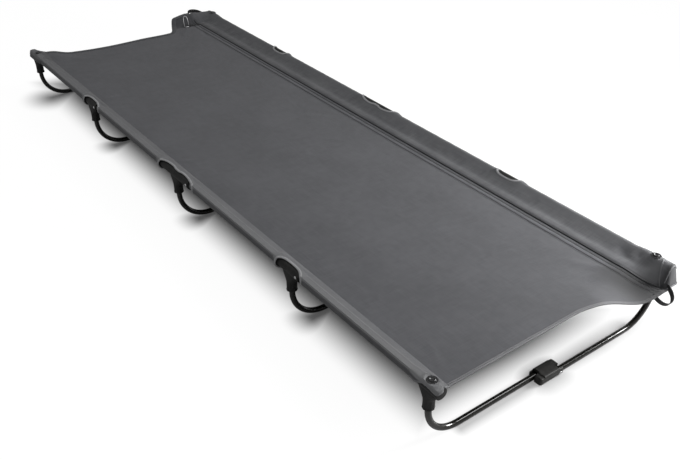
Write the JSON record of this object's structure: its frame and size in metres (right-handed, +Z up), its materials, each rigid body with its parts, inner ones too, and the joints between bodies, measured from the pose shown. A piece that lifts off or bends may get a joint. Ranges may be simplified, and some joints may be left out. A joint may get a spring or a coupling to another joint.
{
  "type": "camping cot",
  "caption": "Low camp bed: a fabric panel stretched between two side poles, on folding legs bent up from the floor to a socket on each pole.",
  "frame": {"origin": "on the floor, under the middle of the bed", "axes": "+X to the far side, which has the pull loops; +Y to the head end; +Z up"},
  "size_m": [0.6556, 2.02, 0.1655],
  "materials": {
    "charcoal_fabric": "plain weave, matt",
    "sleeve_fabric": "plain weave, matt",
    "black_webbing": "woven webbing, matt",
    "black_plastic": "fine moulded texture",
    "black_coated_tube": "gloss black coating on steel",
    "grey_pole": "grey anodised",
    "bright_steel": "plated"
  },
  "bodies": {
    "near_frame": {"near_pole_foot": "grey_pole", "near_pole_head": "grey_pole", "near_pole_ferrule": "bright_steel", "near_socket_1": "black_plastic", "near_socket_2": "black_plastic", "near_socket_3": "black_plastic", "near_socket_4": "black_plastic", "near_socket_5": "black_plastic", "near_leg_1": "black_coated_tube", "near_leg_2": "black_coated_tube", "near_leg_3": "black_coated_tube", "near_leg_4": "black_coated_tube", "near_leg_5": "black_coated_tube", "near_rivet_2": "bright_steel", "near_rivet_3": "bright_steel", "near_rivet_4": "bright_steel", "near_head_stud": "black_plastic", "near_foot_stud": "black_plastic", "near_sleeve": "sleeve_fabric", "near_head_pocket": "sleeve_fabric", "near_foot_pocket": "sleeve_fabric", "bed_panel": "charcoal_fabric"},
    "knuckle_row": {"knuckle_1": "black_plastic", "near_pin_1": "bright_steel", "far_pin_1": "bright_steel", "knuckle_2": "black_plastic", "near_pin_2": "bright_steel", "far_pin_2": "bright_steel", "knuckle_3": "black_plastic", "near_pin_3": "bright_steel", "far_pin_3": "bright_steel", "knuckle_4": "black_plastic", "near_pin_4": "bright_steel", "far_pin_4": "bright_steel", "knuckle_5": "black_plastic", "near_pin_5": "bright_steel", "far_pin_5": "bright_steel"},
    "far_frame": {"far_pole_foot": "grey_pole", "far_pole_head": "grey_pole", "far_pole_ferrule": "bright_steel", "far_socket_1": "black_plastic", "far_socket_2": "black_plastic", "far_socket_3": "black_plastic", "far_socket_4": "black_plastic", "far_socket_5": "black_plastic", "far_leg_1": "black_coated_tube", "far_leg_2": "black_coated_tube", "far_leg_3": "black_coated_tube", "far_leg_4": "black_coated_tube", "far_leg_5": "black_coated_tube", "far_rivet_2": "bright_steel", "far_rivet_3": "bright_steel", "far_rivet_4": "bright_steel", "far_head_stud": "black_plastic", "far_foot_stud": "black_plastic", "far_sleeve": "sleeve_fabric", "far_head_pocket": "sleeve_fabric", "far_foot_pocket": "sleeve_fabric", "foot_pull_loop": "black_webbing", "head_pull_loop": "black_webbing"}
  },
  "joints": [
    {"name": "near_knuckle", "type": "hinge", "parent": "near_frame", "child": "knuckle_row", "pos_m": [-0.024, 0, 0.00618], "axis": [0, -1, 0], "range_deg": [0, 60], "deforming": ["bed_panel"]},
    {"name": "far_knuckle", "type": "hinge", "parent": "knuckle_row", "child": "far_frame", "pos_m": [0.024, 0, 0.00618], "axis": [0, -1, 0], "range_deg": [0, 60], "deforming": ["bed_panel"]}
  ],
  "couplings": [
    {"joint": "far_knuckle", "follows": "near_knuckle", "ratio": 1}
  ]
}
